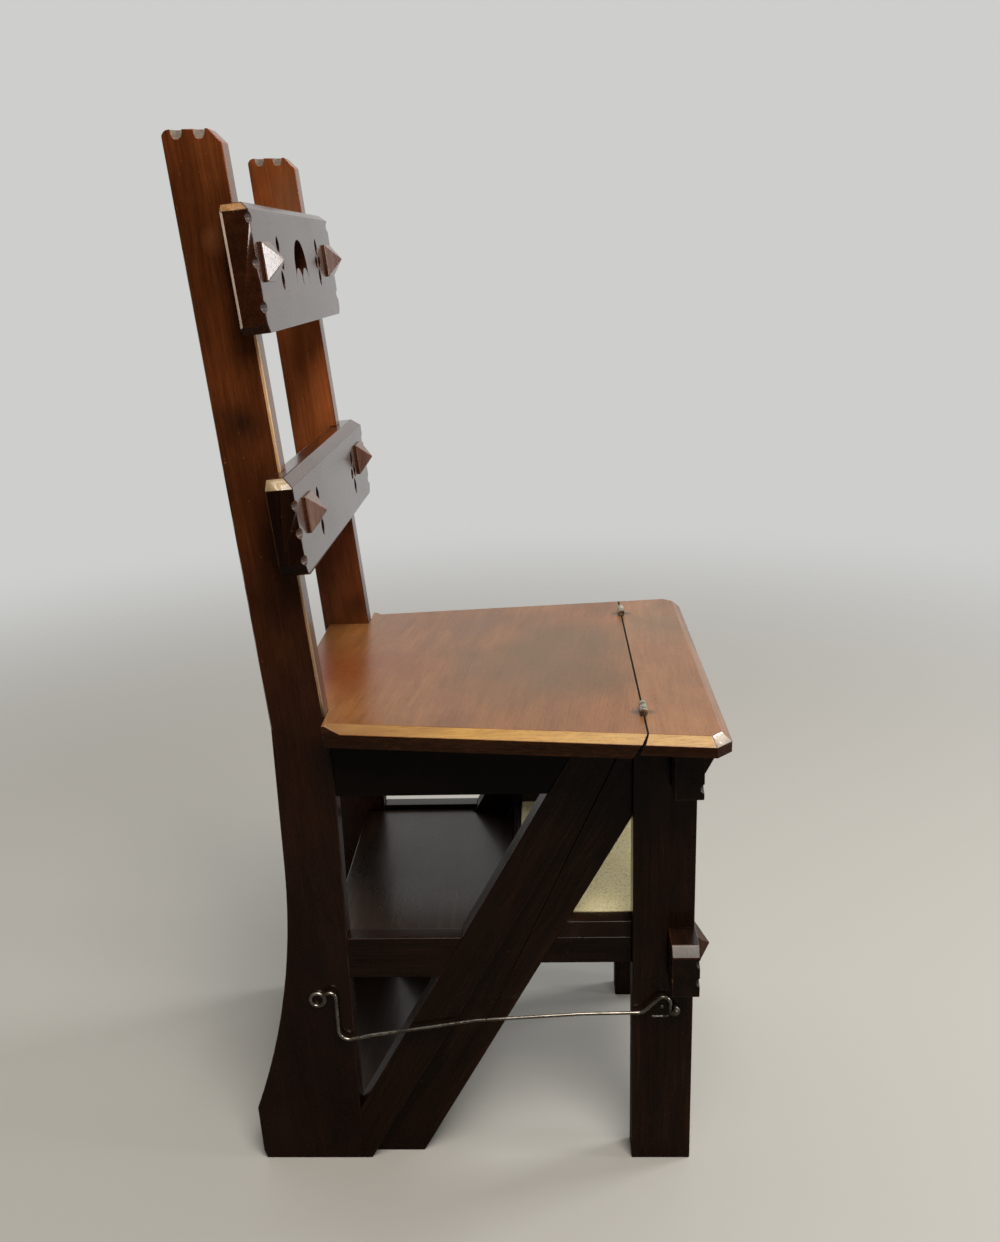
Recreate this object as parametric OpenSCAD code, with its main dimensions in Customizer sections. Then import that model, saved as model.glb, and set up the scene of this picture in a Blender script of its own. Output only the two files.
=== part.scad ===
// Metamorphic library chair: the back half swings over the seat front on two hinges and
// stands on its stile tops, which turns the chair into a flight of library steps.
// Millimetres. +X forward, +Y to the sitter's left, +Z up, floor at z = 0.

/* [Hinge line] */
// Gap between the hinge barrels and the seat
barrel_lift = 0.3; // [0.2:0.05:0.5]
// Distance of the hinge pins in front of the middle of the chair
pin_x = 146; // [130:1:165]
// Distance of each hinge from the middle of the chair
hinge_y = 139; // [110:1:150]
// Length of each hinge along its pin
hinge_len = 20; // [18:1:40]
// Radius of the hinge barrel
barrel_r = 3.2; // [2.6:0.1:3.3]
// Radius of the hinge pin
hinge_pin_r = 1.4; // [1:0.1:2]
// Thickness of a hinge leaf
leaf_t = 1.6; // [1.2:0.1:2.5]
// Depth of a hinge leaf down the edge of its board
leaf_drop = 13; // [8:1:14]
// Gap between the knuckles
knuckle_gap = 0.3; // [0.2:0.05:0.5]
// Running clearance round the pin
pin_play = 0.05; // [0.02:0.01:0.1]

/* [Frame] */
// Half the width over the outer faces of the legs
half_w = 140; // [120:1:170]
// Gap between the two halves along the slanting cut
split_gap = 1; // [0.6:0.1:2]
// Distance of the slanting cut in front of the pins, at pin height
split_lead = 1.5; // [0:0.5:5]
// Where the slanting cut meets the floor, behind the middle
split_foot = -106.6; // [-112:0.1:-100]

/* [Rear legs] */
// Thickness of a rear leg plank
rear_leg_t = 19; // [16:0.5:25]
// Front edge of the rear leg below the seat
rear_leg_front = -115; // [-125:1:-105]
// Width of the rear leg at the seat
rear_leg_w = 50.3; // [44:0.1:60]
// Height where the front edge begins to lean back
front_lean_z = 407; // [390:1:430]
// Lean of the front edge
front_lean = 5.24; // [3:0.01:8]
// Height where the back edge begins to lean back
back_lean_z = 440; // [420:1:455]
// Lean of the back edge
back_lean = 4.76; // [3:0.01:8]
// Height where the sabre curve of the foot begins
sabre_z = 308; // [280:1:330]
// Radius of the sabre curve
sabre_r = 700; // [660:1:800]
// Height of the heel of the foot
heel_z = 56.6; // [40:1:80]
// Setback of the foot's lower back corner
heel_tuck = 1.5; // [0:0.1:6]
// Height of the cut under the heel
heel_cut = 9; // [4:1:20]
// Clip of the top front corner
top_clip = 9; // [5:0.5:14]
// Radius of the top back corner
top_round = 5.5; // [2:0.5:8]
// Radius of the gouge notches
gouge_r = 4.4; // [3:0.1:6]
// Depth of the gouge notches
gouge_depth = 3.4; // [2:0.1:6]
// Slant of a gouge notch to the face of its rail
gouge_angle = 25; // [15:1:45]
// Spacing of the notches on a stile top
top_gouge_gap = 16.8; // [14:0.1:22]
// Middle of the notches on a stile top
top_gouge_x = -184.3; // [-190:0.1:-178]
// Radius of the notches on a stile top
top_gouge_r = 4.2; // [3:0.1:6]
// Depth of the notches on a stile top
top_gouge_depth = 7; // [3:0.5:8]

/* [Front legs] */
// Thickness of a front leg
front_leg_t = 27; // [22:0.5:32]
// Width of a front leg seen from the side
front_leg_w = 54; // [46:0.5:62]
// Front face of the front legs
front_leg_face = 192; // [180:0.5:200]

/* [Strings] */
// Width across the string of the back half
back_string_w = 34; // [28:0.5:42]
// Thickness of the string of the back half
back_string_t = 25; // [18:0.5:26]
// Width across the string of the front half
front_string_w = 42; // [30:0.5:48]
// Least width of the front string at its top end
string_tip = 0.9; // [0.5:0.1:2]
// Thickness of the string of the front half
front_string_t = 20; // [16:0.5:24]
// Setback of the front half's strings from the leg face
front_string_in = 10; // [6:0.5:14]

/* [Seat] */
// Height of the seat; the chair is about twice this high
seat_z = 450; // [430:0.5:470]
// Thickness of the main seat board
main_board_t = 19; // [16:0.5:22]
// Thickness of the front seat board
front_board_t = 16; // [14:0.5:20]
// Front edge of the seat
seat_front = 212; // [200:1:225]
// Back edge of the seat
seat_back = -160; // [-170:1:-150]
// Stand of the seat past the legs at the hinge line
seat_overhang = 52.5; // [40:0.5:64]
// Taper of each side of the seat
seat_taper = 7; // [0:0.1:9]
// Width of the chamfer round the seat
chamfer_w = 8; // [4:0.5:12]
// Depth of the chamfer round the seat
chamfer_d = 7; // [3:0.5:10]
// Extra depth of the chamfer at the clipped corners
corner_deeper = 0.5; // [0.4:0.1:2]
// Clip of the front corners of the seat
front_clip = 13; // [6:0.5:20]
// Distance of the side chamfers' stops in front of the stiles
chamfer_lead = 3; // [1:0.5:10]
// Length of the slope that ends a side chamfer
chamfer_stop = 13; // [6:0.5:20]
// Play on each side of the hinge line
joint_play = 0.25; // [0.2:0.05:0.6]
// Undercut of the main board at the hinge line
main_undercut = 12.5; // [10:0.5:16]
// Undercut of the front board at the hinge line
front_undercut = 7; // [0:0.5:9]
// Depth of the rails under the sides of the seat
seat_rail_h = 54; // [40:1:70]
// Thickness of the rails under the sides of the seat
seat_rail_t = 20; // [16:0.5:24]

/* [Treads] */
// Thickness of the wooden treads
tread_t = 18; // [14:0.5:22]
// Height of the fixed tread
fixed_tread_z = 246; // [230:1:260]
// Thickness of the fixed tread
fixed_tread_t = 16; // [14:0.5:20]
// Half the width of the fixed tread
fixed_tread_half = 128; // [124:0.5:130]
// Back edge of the fixed tread
fixed_tread_back = 34; // [32:1:60]
// Thickness of the tread's lining
lining_t = 1.5; // [1:0.1:3]
// Margin of bare wood in front of the lining
lining_margin = 3; // [1:0.5:20]
// Top of the middle rails of the back half
mid_rail_top = 238; // [225:1:245]
// Depth of the middle rails
mid_rail_h = 40; // [30:1:50]
// Thickness of the middle rails
mid_rail_t = 16; // [14:0.5:22]
// Drop of the middle tread below the rail tops
mid_tread_drop = 5; // [2:0.5:12]
// Back edge of the middle tread
mid_tread_back = -134; // [-150:1:-120]
// Nose of the middle tread
mid_tread_nose = 28; // [15:1:31]
// Top face of the bottom tread
low_tread_top = 44; // [36:1:60]
// Back edge of the bottom tread
low_tread_back = -190; // [-208:1:-160]
// Nose of the bottom tread
low_tread_nose = -70; // [-92:1:-62]
// Clearance of the tread noses from the front half's strings
nose_gap = 2; // [1:0.5:5]
// Height of the stretchers under the fixed tread
side_stretcher_h = 26; // [18:1:40]

/* [Front rails] */
// Thickness of the two front rails
front_rail_t = 24; // [18:0.5:28]
// Stand of the front rails in front of the legs
front_rail_proud = 1; // [0:0.5:8]
// Half length of the front rails
front_rail_half = 174; // [150:1:180]
// Depth of the apron rail
apron_h = 48; // [36:1:60]
// Depth of the lower front rail
front_stretcher_h = 46.5; // [36:0.5:60]
// Clip of the lower front rail's corners
front_rail_clip = 8; // [4:0.5:12]
// Spacing of the gouges on the lower front rail's ends
front_gouge_gap = 18; // [14:1:26]
// Height of the apron's gouge above its lower edge
apron_gouge_z = 10; // [7:1:14]
// Depth of the canted moulding under the seat front
cant_h = 25; // [15:1:30]
// Width of the canted moulding under the seat front
cant_w = 15; // [8:1:17]

/* [Back rails] */
// Thickness of the back rails
back_rail_t = 21.5; // [16:0.5:26]
// Depth of the housing in the stiles
housing = 6.5; // [4:0.5:12]
// Middle height of the upper back rail
upper_z = 808.6; // [790:0.1:830]
// Height of the upper back rail
upper_h = 93.4; // [70:1:110]
// Half length of the upper back rail
upper_half = 160; // [150:1:180]
// Clip of the upper rail's top corners
upper_clip_top = 6; // [4:0.5:14]
// Clip of the upper rail's bottom corners
upper_clip_low = 6; // [4:0.5:14]
// Chamfer along the upper rail's top edge
upper_chamfer = 5.5; // [1:0.5:8]
// Middle height of the lower back rail
lower_z = 617.6; // [600:0.5:640]
// Height of the lower back rail
lower_h = 78.3; // [60:0.5:90]
// Half length of the lower back rail
lower_half = 174; // [150:1:185]
// Clip of the lower rail's top corners
lower_clip_top = 8; // [4:0.5:16]
// Radius of the lower rail's bottom corners
lower_round = 12; // [4:0.5:18]
// Chamfer along the lower rail's top edge
lower_chamfer = 7.5; // [1:0.5:10]
// Spacing of the three gouge notches on the upper rail's ends
upper_gouge_gap = 31.6; // [24:0.1:36]
// Spacing of the three gouge notches on the lower rail's ends
lower_gouge_gap = 21.5; // [16:0.5:24]
// Rise of the upper rail's notches above its middle
upper_gouge_rise = 3.7; // [0:0.1:6]
// Drop of the lower rail's notches from its middle
lower_gouge_drop = 4; // [0:0.5:8]

/* [Bosses] */
// Side of a boss
boss_w = 29; // [20:1:34]
// Thickness of the square block of a boss
boss_block = 2; // [1.5:0.5:8]
// Height of the pyramid of a boss
boss_point = 12.5; // [6:0.5:18]
// Rise of the upper bosses above the middle of the rail
upper_boss_rise = 4; // [0:0.5:10]
// Rise of the lower bosses above the middle of the rail
lower_boss_rise = 4; // [0:0.5:10]

/* [Pierced work] */
// Distance of the pierced crosses from the middle of the chair
cross_y = 81; // [70:1:95]
// Height of a pierced cross
cross_h = 41; // [24:1:50]
// Width of a pierced cross
cross_w = 26; // [12:1:34]
// Length of the upright leaves of a cross
leaf_len = 15; // [8:0.5:19]
// Length of the level leaves of a cross
side_leaf_len = 11; // [6:0.5:12]
// Half breadth of a leaf
leaf_half = 5; // [2:0.1:5.5]
// Rise of the upper crosses above the middle of the rail
upper_cross_rise = 2.8; // [-4:0.1:6]
// Drop of the lower crosses below the middle of the rail
lower_cross_drop = 4; // [-4:0.5:8]
// Distance of the lower crosses outside the upper ones
lower_cross_out = 9; // [0:1:14]
// Radius of the pierced arch
arch_r = 25; // [16:1:28]
// Drop of the arch's springing below the middle of the rail
arch_drop = 3.5; // [-2:0.5:8]
// Length of the pointed tails under the arch
tail_len = 11.5; // [8:0.5:18]
// Flare of the outer tails
tail_flare = 3; // [0:0.5:5]
// Half breadth of a tail's tip
tail_tip = 0.4; // [0.2:0.1:1.5]

/* [Wire hook] */
// Radius of the brass wire
wire_r = 1.5; // [1.2:0.1:2]
// Distance of the hook's pivot in front of the middle
hook_x = 175; // [155:1:175]
// Height of the hook's pivot
hook_z = 164.6; // [150:1:190]
// Radius of the pivot
hook_pin_r = 2; // [1.6:0.1:2.6]
// Running clearance of the hook's ring on its pivot
hook_play = 0.1; // [0.05:0.01:0.1]
// Side clearance of the hook's ring
side_play = 0.3; // [0.2:0.05:0.5]
// Radius of the pivot screw's head
head_r = 3.4; // [3:0.1:6]
// Height of the pivot screw's head
head_h = 1.6; // [1.2:0.1:3.5]
// Radius of the dome of the pivot screw's head
head_dome = 4.2; // [3.5:0.1:9]
// Distance of the rear eye behind the middle
eye_x = -146; // [-155:1:-140]
// Height of the rear eye
eye_z = 176; // [165:1:185]
// Mean radius of the rear eye
eye_r = 6.5; // [4:0.5:8]
// Stand of the hook off the rear eye
hook_stand = 0.5; // [0.4:0.1:2]
// Degrees of the open ring at the end of the hook
hook_loop = 275; // [200:1:275]
// Straight wire above the ring
hook_neck = 8.4; // [6:0.1:12]
// Radius of the hump over the ring
hump_r = 6.2; // [5:0.1:8]
// Straight wire down from the hump
hook_fall = 16; // [12:0.5:20]
// Radius of the bend below the hump
shoulder_r = 10; // [6:0.5:14]
// Level wire before the sag
hook_level = 50; // [30:1:80]
// Radius of the long sag
sag_r = 1000; // [800:10:1400]
// Straight wire before the foot of the hook
hook_lead = 19.5; // [10:0.5:30]
// Radius of the bend at the foot of the hook
foot_bend_r = 9.5; // [6:0.5:12]
// Length of the upright behind the hook's bend
hook_rise = 34; // [26:1:38]
// Radius of the crook over the eye
crook_r = 5.5; // [4:0.5:8]

/* [Hidden] */
cut = 1;
wide = 400;
split_x0 = pin_x + split_lead;
pin_z = seat_z + barrel_r + barrel_lift;
split_run = (split_x0 - split_foot) / pin_z;
split_angle = atan(1 / split_run);
seat_half = half_w + seat_overhang;
total_h = 2 * pin_z;
main_under = seat_z - main_board_t;
front_under = seat_z - front_board_t;
leg_in = half_w - rear_leg_t;
front_leg_in = half_w - front_leg_t;
front_leg_back = front_leg_face - front_leg_w;
rear_leg_back = rear_leg_front - rear_leg_w;
back_string_in = half_w - back_string_t;
front_string_out = half_w - front_string_in;
front_string_inner = front_string_out - front_string_t;
back_string_run = back_string_w / sin(split_angle);
front_string_run = front_string_w / sin(split_angle);
front_rail_face = front_leg_face + front_rail_proud;
front_rail_back = front_rail_face - front_rail_t;
apron_low = front_under - apron_h;
front_stretcher_low = fixed_tread_z - front_stretcher_h;
fixed_tread_low = fixed_tread_z - fixed_tread_t;
stile_mid = half_w - rear_leg_t / 2;
front_leg_mid = half_w - front_leg_t / 2;
rail_proud = back_rail_t - housing;
nose_half = front_string_inner - nose_gap;
eye_plane = half_w + wire_r;
hook_plane = eye_plane + 2 * wire_r + hook_stand;
hook_ring_r = hook_pin_r + wire_r + hook_play;
wire_sides = 8;
bend_step = 18;
corner_step = 18;
stop_gap = 40;
chamfer_run = 12;
knuckle_len = (hinge_len - 2 * knuckle_gap) / 3;
wood = [0.27, 0.14, 0.07];
wood_dark = [0.15, 0.07, 0.03];
wood_warm = [0.45, 0.27, 0.14];
brass = [0.62, 0.5, 0.28];
lining_colour = [0.78, 0.73, 0.56];

function split_x(z) = split_x0 - (pin_z - z) * split_run;
function back_face(z) = split_x(z) - split_gap / 2;
function front_face(z) = split_x(z) + split_gap / 2;
function back_string_top(z) = back_face(z) - back_string_run;
function stile_front(z) = rear_leg_front - max(z - front_lean_z, 0) * tan(front_lean);
function stile_back(z) = rear_leg_back - max(z - back_lean_z, 0) * tan(back_lean);
function sabre_x(z) = rear_leg_back - sabre_r + sqrt(sabre_r * sabre_r - (sabre_z - z) * (sabre_z - z));
function seat_edge(x) = seat_half + (x - pin_x) * tan(seat_taper);
function main_edge(z) = pin_x - joint_play - (seat_z - z) * main_undercut / main_board_t;
function front_edge(z) = pin_x + joint_play - (seat_z - z) * front_undercut / front_board_t;

// Points round the corner at (x, z) of radius r, from its top to its side
function corner_arc(x, z, r) = [
    for (t = [90 : -corner_step : 0])
        [x - r + r * cos(t), z - r + r * sin(t)]
];

// Upright board: an outline in X and Z between two distances from the middle, on one side
module side_board(side, near, far, outline) {
    translate([0, side > 0 ? far : -near, 0])
    rotate([90, 0, 0])
    linear_extrude(far - near)
    polygon(outline);
}

// Bar across the chair: an outline in X and Z between two Y values
module cross_bar(y0, y1, outline) {
    translate([0, y1, 0])
    rotate([90, 0, 0])
    linear_extrude(y1 - y0)
    polygon(outline);
}

// Block between two corners
module block(a, b) {
    translate(a)
    cube([b[0] - a[0], b[1] - a[1], b[2] - a[2]]);
}

// Cutter for the seat's chamfer along the edge from a to b, with the board on its left
module seat_chamfer(a, b, deeper = 0) {
    run = b - a;
    translate([a[0], a[1], seat_z - deeper])
    rotate([0, 0, atan2(run[1], run[0])])
    translate([-chamfer_run, 0, 0])
    rotate([90, 0, 90])
    linear_extrude(norm(run) + 2 * chamfer_run)
    polygon([
        [-cut, -chamfer_d - cut * chamfer_d / chamfer_w],
        [2 * chamfer_w, chamfer_d],
        [-cut, chamfer_d]
    ]);
}

// Scoop across an upright corner: deep by gouge_depth in the end and longer on the face
module end_gouge(x, side, half, z) {
    translate([x - gouge_depth, side * half, z])
    rotate([0, 0, side * gouge_angle])
    translate([gouge_r, 0, 0])
    rotate([90, 0, 0])
    cylinder(h = 8 * gouge_r, r = gouge_r, center = true, $fn = 48);
}

// Three scoops down each end of a rail
module end_gouges(x, half, mid, gap) {
    for (side = [-1, 1])
        for (k = [-1, 0, 1])
            end_gouge(x, side, half, mid + k * gap);
}

// Scoop down one face of a stile's top
module top_gouge(x, y, out) {
    translate([x, y, total_h - top_gouge_depth])
    rotate([out * -45, 0, 0])
    translate([0, 0, top_gouge_r])
    rotate([90, 0, 0])
    cylinder(h = 8 * top_gouge_r, r = top_gouge_r, center = true, $fn = 48);
}

// Square boss with a low pyramid, standing on the plane x = 0
module boss() {
    profile = [
        [0, -boss_w / 2],
        [boss_block, -boss_w / 2],
        [boss_block + boss_point, 0],
        [boss_block, boss_w / 2],
        [0, boss_w / 2]
    ];
    intersection() {
        translate([0, 0, -boss_w])
        linear_extrude(2 * boss_w)
        polygon(profile);
        translate([0, boss_w, 0])
        rotate([90, 0, 0])
        linear_extrude(2 * boss_w)
        polygon(profile);
    }
}

// Frame on the front of the stiles at height z, leaning back with them
module on_stile(z) {
    translate([stile_front(z), 0, z])
    rotate([0, -front_lean, 0])
    children();
}

// Pointed leaf cut right through a rail, with its tips up and down
module leaf_hole(length, half) {
    r = (length * length / 4 + half * half) / (2 * half);
    intersection() {
        translate([0, r - half, 0])
        rotate([0, 90, 0])
        cylinder(h = 4 * back_rail_t, r = r, center = true, $fn = 96);
        translate([0, half - r, 0])
        rotate([0, 90, 0])
        cylinder(h = 4 * back_rail_t, r = r, center = true, $fn = 96);
    }
}

// Four pointed leaves set as a cross
module cross_hole() {
    for (turn = [0, 180])
        rotate([turn, 0, 0])
        translate([0, 0, cross_h / 2 - leaf_len / 2])
        leaf_hole(leaf_len, leaf_half);
    for (turn = [90, 270])
        rotate([turn, 0, 0])
        translate([0, 0, cross_w / 2 - side_leaf_len / 2])
        leaf_hole(side_leaf_len, leaf_half);
}

// Round arch over three pointed tails
module arch_hole() {
    bump_y = (arch_r + tail_flare) / 2;
    difference() {
        union() {
            difference() {
                rotate([0, 90, 0])
                cylinder(h = 4 * back_rail_t, r = arch_r, center = true, $fn = 96);
                block([-wide, -wide, -wide], [wide, wide, 0]);
            }
            translate([-2 * back_rail_t, 0, 0])
            rotate([90, 0, 90])
            linear_extrude(4 * back_rail_t)
            polygon([
                [-arch_r, 0],
                [-arch_r - tail_flare, -tail_len],
                [arch_r + tail_flare, -tail_len],
                [arch_r, 0]
            ]);
        }
        for (side = [-1, 1])
            translate([0, side * bump_y, -tail_len])
            rotate([0, 90, 0])
            cylinder(h = 5 * back_rail_t, r = bump_y - tail_tip, center = true, $fn = 64);
    }
}

// Blank of a back rail in its own frame
module back_rail_blank(half, h, clip_top, low_corner) {
    translate([-housing, 0, 0])
    rotate([90, 0, 90])
    linear_extrude(back_rail_t)
    polygon([
        for (p = low_corner)
            [p[0], -p[1]],
        [half, h / 2 - clip_top],
        [half - clip_top, h / 2],
        [-half + clip_top, h / 2],
        [-half, h / 2 - clip_top],
        for (k = [len(low_corner) - 1 : -1 : 0])
            [-low_corner[k][0], -low_corner[k][1]]
    ]);
}

// Cutter for the chamfer along the top of a back rail
module rail_chamfer(h, chamfer) {
    cross_bar(-wide, wide, [
        [rail_proud, h / 2 - chamfer],
        [rail_proud + cut, h / 2 - chamfer],
        [rail_proud + cut, h / 2 + cut],
        [rail_proud - chamfer, h / 2 + cut],
        [rail_proud - chamfer, h / 2]
    ]);
}

// Full-height prism of a rear leg's housing for one back rail
module rail_housing(h) {
    block([-housing, -wide, -h / 2], [back_rail_t, wide, h / 2]);
}

module rear_leg(side) {
    difference() {
        side_board(side, leg_in, half_w, [
            [rear_leg_front, 0],
            [rear_leg_front, front_lean_z],
            [stile_front(total_h - top_clip), total_h - top_clip],
            [stile_front(total_h - top_clip) - top_clip, total_h],
            for (p = corner_arc(-stile_back(total_h - top_round), total_h, top_round))
                [-p[0], p[1]],
            [stile_back(back_lean_z), back_lean_z],
            [rear_leg_back, sabre_z],
            [rear_leg_back - wide, sabre_z],
            [rear_leg_back - wide, heel_z],
            [sabre_x(heel_z), heel_z],
            [sabre_x(heel_z) + heel_tuck, heel_cut],
            [sabre_x(heel_z) + 3 * heel_tuck, 0]
        ]);
        translate([rear_leg_back - sabre_r, 0, sabre_z])
        rotate([90, 0, 0])
        cylinder(h = 2 * wide, r = sabre_r, center = true, $fn = 200);
        on_stile(upper_z)
        rail_housing(upper_h);
        on_stile(lower_z)
        rail_housing(lower_h);
        for (k = [-0.5, 0.5]) {
            top_gouge(top_gouge_x + k * top_gouge_gap, side * half_w, side);
            top_gouge(top_gouge_x + k * top_gouge_gap, side * leg_in, -side);
        }
    }
}

module rear_leg_near() {
    color(wood)
    rear_leg(-1);
}

module rear_leg_far() {
    color(wood)
    rear_leg(1);
}

module front_leg(side) {
    difference() {
        side_board(side, front_leg_in, half_w, [
            [front_leg_back, 0],
            [front_leg_face, 0],
            [front_leg_face, front_under],
            [front_leg_back, front_under]
        ]);
        block([front_rail_back, -wide, apron_low], [wide, wide, front_under + cut]);
        block([front_rail_back, -wide, front_stretcher_low], [wide, wide, fixed_tread_z]);
    }
}

module front_leg_near() {
    color(wood_dark)
    front_leg(-1);
}

module front_leg_far() {
    color(wood_dark)
    front_leg(1);
}

// String of the front half, from the floor up to the seat board
module front_string(side) {
    join_z = pin_z - (split_x0 + split_gap / 2 + front_string_run - front_leg_back) / split_run;
    tip_z = pin_z - (split_x0 + split_gap / 2 + string_tip - front_leg_back) / split_run;
    top_z = min(front_under, tip_z);
    side_board(side, front_string_inner, front_string_out, [
        [front_face(0), 0],
        [front_face(0) + front_string_run, 0],
        [front_leg_back, join_z],
        [front_leg_back, top_z],
        [front_face(top_z), top_z]
    ]);
}

module front_string_near() {
    color(wood)
    front_string(-1);
}

module front_string_far() {
    color(wood)
    front_string(1);
}

module back_string(side) {
    join_z = pin_z - (split_x0 - split_gap / 2 - back_string_run - rear_leg_front) / split_run;
    side_board(side, back_string_in, half_w, [
        [rear_leg_front, 0],
        [back_face(0), 0],
        [back_face(main_under), main_under],
        [back_string_top(main_under), main_under],
        [rear_leg_front, join_z]
    ]);
}

module back_string_near() {
    color(wood)
    back_string(-1);
}

module back_string_far() {
    color(wood)
    back_string(1);
}

module side_stretcher(side) {
    low = fixed_tread_low - side_stretcher_h;
    side_board(side, front_string_inner, fixed_tread_half, [
        [front_face(low) + front_string_run, low],
        [front_leg_back, low],
        [front_leg_back, fixed_tread_low],
        [front_face(fixed_tread_low) + front_string_run, fixed_tread_low]
    ]);
}

module side_stretcher_near() {
    color(wood)
    side_stretcher(-1);
}

module side_stretcher_far() {
    color(wood)
    side_stretcher(1);
}

// Both strings of the front half as one cutter
module front_strings() {
    front_string(-1);
    front_string(1);
}

module fixed_tread() {
    color(wood)
    difference() {
        union() {
            block([fixed_tread_back, -fixed_tread_half, fixed_tread_low],
                [front_leg_back, fixed_tread_half, fixed_tread_z]);
            block([front_leg_back - cut, -front_leg_in, fixed_tread_low],
                [front_rail_back, front_leg_in, fixed_tread_z]);
        }
        front_strings();
    }
}

module tread_lining() {
    color(lining_colour)
    difference() {
        block([fixed_tread_back + lining_margin, -front_leg_in, fixed_tread_z],
            [front_rail_back, front_leg_in, fixed_tread_z + lining_t]);
        front_strings();
    }
}

module front_stretcher_rail() {
    color(wood)
    difference() {
        translate([front_rail_back, 0, 0])
        rotate([90, 0, 90])
        linear_extrude(front_rail_t)
        polygon([
            [-front_rail_half, front_stretcher_low],
            [front_rail_half, front_stretcher_low],
            [front_rail_half, fixed_tread_z - front_rail_clip],
            [front_rail_half - front_rail_clip, fixed_tread_z],
            [front_rail_clip - front_rail_half, fixed_tread_z],
            [-front_rail_half, fixed_tread_z - front_rail_clip]
        ]);
        for (side = [-1, 1])
            for (k = [-0.5, 0.5])
                end_gouge(front_rail_face, side, front_rail_half,
                    front_stretcher_low + front_stretcher_h / 2 + k * front_gouge_gap);
    }
}

module front_apron_rail() {
    color(wood_dark)
    difference() {
        block([front_rail_back, -front_rail_half, apron_low],
            [front_rail_face, front_rail_half, front_under]);
        for (side = [-1, 1])
            end_gouge(front_rail_face, side, front_rail_half, apron_low + apron_gouge_z);
    }
}

module seat_front_moulding() {
    color(wood_dark)
    cross_bar(-front_rail_half, front_rail_half, [
        [front_rail_face, front_under - cant_h],
        [front_rail_face + cant_w / 2, front_under - cant_h / 2 + 2],
        [front_rail_face + cant_w, front_under],
        [front_rail_face, front_under]
    ]);
}

// Blank of the front board, chamfered along its sides and front but not yet at its corners
module front_seat_blank(back_x, corner_x, corner_y) {
    difference() {
        translate([0, 0, front_under])
        linear_extrude(front_board_t)
        polygon([
            [back_x, -seat_edge(back_x)],
            [corner_x, -seat_edge(corner_x)],
            [seat_front, -corner_y],
            [seat_front, corner_y],
            [corner_x, seat_edge(corner_x)],
            [back_x, seat_edge(back_x)]
        ]);
        seat_chamfer([back_x, -seat_edge(back_x)], [corner_x, -seat_edge(corner_x)]);
        seat_chamfer([seat_front, -corner_y], [seat_front, corner_y]);
        seat_chamfer([corner_x, seat_edge(corner_x)], [back_x, seat_edge(back_x)]);
    }
}

module front_seat_board() {
    corner_x = seat_front - front_clip;
    corner_y = seat_edge(corner_x) - front_clip;
    color(wood_warm)
    difference() {
        front_seat_blank(front_edge(front_under) - cut, corner_x, corner_y);
        cross_bar(-wide, wide, [
            [-wide, front_under - cut],
            [front_edge(front_under - cut), front_under - cut],
            [front_edge(seat_z + cut), seat_z + cut],
            [-wide, seat_z + cut]
        ]);
        seat_chamfer([corner_x, -seat_edge(corner_x)], [seat_front, -corner_y], corner_deeper);
        seat_chamfer([seat_front, corner_y], [corner_x, seat_edge(corner_x)], corner_deeper);
        for (side = [-1, 1])
            cross_bar(side * hinge_y - hinge_len / 2, side * hinge_y + hinge_len / 2, [
                [front_edge(seat_z - leaf_drop) - cut, seat_z - leaf_drop],
                [front_edge(seat_z - leaf_drop) + leaf_t, seat_z - leaf_drop],
                [front_edge(seat_z) + leaf_t, seat_z],
                [front_edge(seat_z) + leaf_t, seat_z + cut],
                [front_edge(seat_z) - cut, seat_z + cut]
            ]);
    }
}

// Cutter for the chamfer along one side of the main board, with a sloping stop before the stile
module stopped_chamfer(side) {
    rear_x = stile_front(seat_z);
    rear = [rear_x, side * seat_edge(rear_x)];
    front = [pin_x, side * seat_edge(pin_x)];
    difference() {
        seat_chamfer(side < 0 ? rear : front, side < 0 ? front : rear);
        translate([rear_x + chamfer_lead, 0, seat_z])
        rotate([0, atan(chamfer_d / chamfer_stop), 0])
        block([-wide, -wide, -wide], [wide, wide, 0]);
    }
}

module main_seat_board() {
    color(wood_warm)
    difference() {
        translate([0, 0, main_under])
        linear_extrude(main_board_t)
        polygon([
            [seat_back, -seat_edge(seat_back)],
            [pin_x, -seat_edge(pin_x)],
            [pin_x, seat_edge(pin_x)],
            [seat_back, seat_edge(seat_back)]
        ]);
        cross_bar(-wide, wide, [
            [main_edge(main_under - cut), main_under - cut],
            [wide, main_under - cut],
            [wide, seat_z + cut],
            [main_edge(seat_z + cut), seat_z + cut]
        ]);
        for (side = [-1, 1]) {
            on_stile(seat_z)
            block([-wide, side > 0 ? leg_in : -wide, -wide], [0, side > 0 ? wide : -leg_in, wide]);
            cross_bar(side * hinge_y - hinge_len / 2, side * hinge_y + hinge_len / 2, [
                [main_edge(seat_z - leaf_drop) - leaf_t, seat_z - leaf_drop],
                [main_edge(seat_z - leaf_drop) + cut, seat_z - leaf_drop],
                [main_edge(seat_z) + cut, seat_z + cut],
                [main_edge(seat_z) - leaf_t, seat_z + cut],
                [main_edge(seat_z) - leaf_t, seat_z]
            ]);
        }
        stopped_chamfer(-1);
        stopped_chamfer(1);
    }
}

module seat_rail(side) {
    low = main_under - seat_rail_h;
    side_board(side, half_w - seat_rail_t, half_w, [
        [rear_leg_front, low],
        [back_string_top(low), low],
        [back_string_top(main_under), main_under],
        [stile_front(main_under), main_under],
        [rear_leg_front, front_lean_z]
    ]);
}

module seat_rail_near() {
    color(wood_dark)
    seat_rail(-1);
}

module seat_rail_far() {
    color(wood_dark)
    seat_rail(1);
}

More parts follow.
